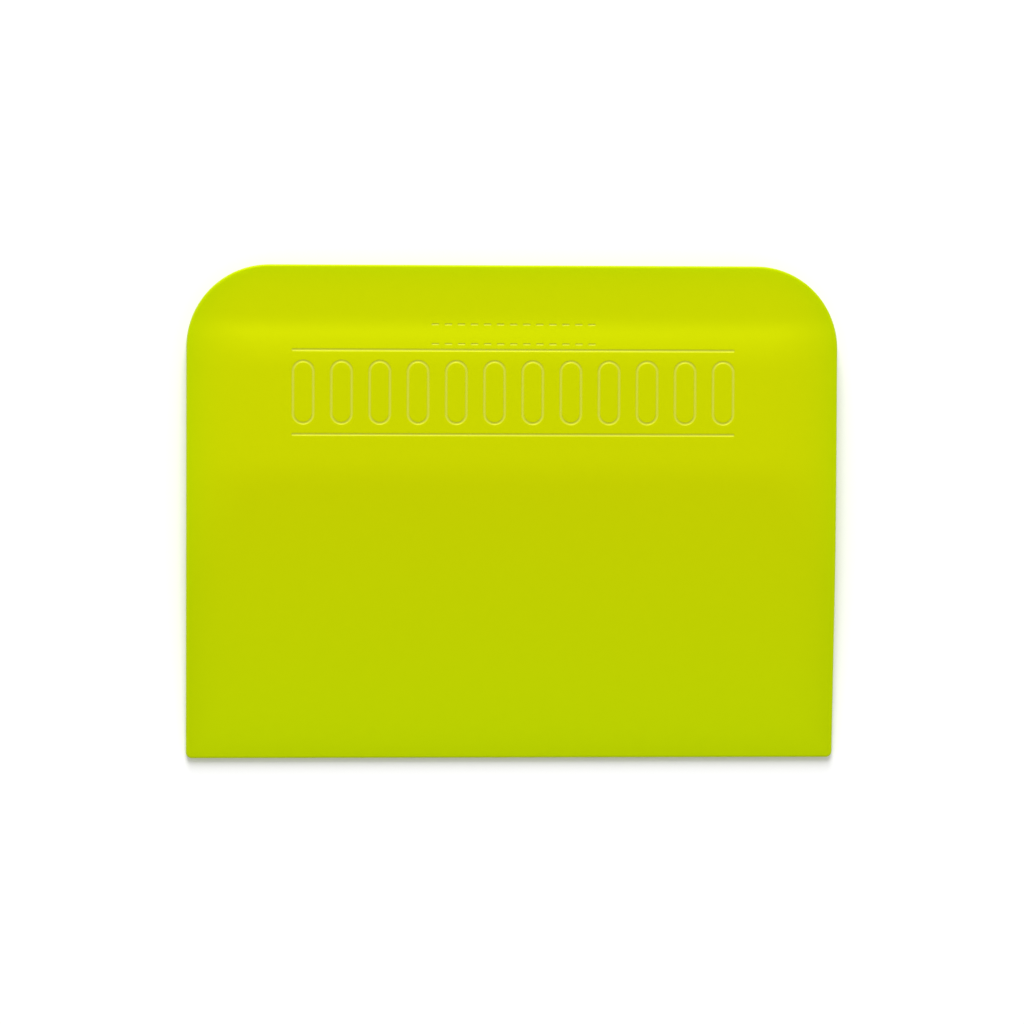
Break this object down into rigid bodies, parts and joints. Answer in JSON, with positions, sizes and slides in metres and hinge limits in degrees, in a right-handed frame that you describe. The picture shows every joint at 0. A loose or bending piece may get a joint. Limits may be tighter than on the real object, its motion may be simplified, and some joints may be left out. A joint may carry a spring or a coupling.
{
  "type": "squeegee applicator",
  "caption": "Flat soft polyurethane applicator card with rounded grip corners, an engraved grip pattern and a tapered flexible blade edge, for pressing down vinyl and paint film.",
  "frame": {"origin": "middle of the card's outline, on the flat back face that it lies on", "axes": "+X along the working edge, +Y from the working edge towards the grip edge, +Z out of the patterned front face"},
  "size_m": [0.1, 0.076, 0.006],
  "materials": {
    "soft_polyurethane": "fluorescent lime, satin moulded, slightly translucent"
  },
  "bodies": {
    "slab": {"grip_body": "soft_polyurethane", "flex_web": "soft_polyurethane"},
    "blade": {"blade_lip": "soft_polyurethane"}
  },
  "joints": [
    {"name": "blade_flex", "type": "hinge", "parent": "slab", "child": "blade", "pos_m": [0, -0.021, 0.0015], "axis": [1, 0, 0], "range_deg": [-45, 45], "stiffness_Nm_per_rad": 0.19, "deforming": ["flex_web"]}
  ]
}
